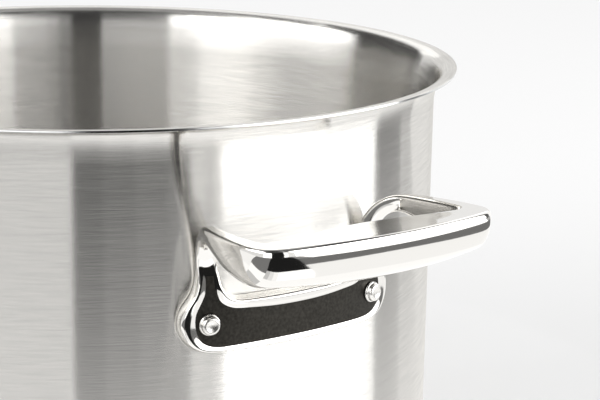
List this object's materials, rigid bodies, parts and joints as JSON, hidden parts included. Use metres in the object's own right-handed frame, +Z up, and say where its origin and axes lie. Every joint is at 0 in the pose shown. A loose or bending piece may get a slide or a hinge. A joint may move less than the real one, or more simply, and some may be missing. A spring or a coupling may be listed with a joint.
{
  "type": "rondeau",
  "caption": "Wide straight-sided cooking pot of clad brushed stainless steel, open at the top, with a flared pouring rim and polished cast loop handles riveted to the wall.",
  "frame": {"origin": "centre of the base, on the surface the pot stands on", "axes": "+Z up along the pot's axis, +X towards one handle, -X towards the other"},
  "size_m": [0.3806, 0.287, 0.152],
  "materials": {
    "brushed_steel": "brushed round the pot",
    "polished_steel": "polished",
    "aluminium_core": "plain, bonded inside the wall"
  },
  "bodies": {
    "root": {"outer_ply": "brushed_steel", "core_ply": "aluminium_core", "inner_ply": "brushed_steel", "handle_right": "polished_steel", "handle_left": "polished_steel", "rivet_right_front": "polished_steel", "rivet_right_back": "polished_steel", "rivet_left_front": "polished_steel", "rivet_left_back": "polished_steel"}
  },
  "joints": []
}
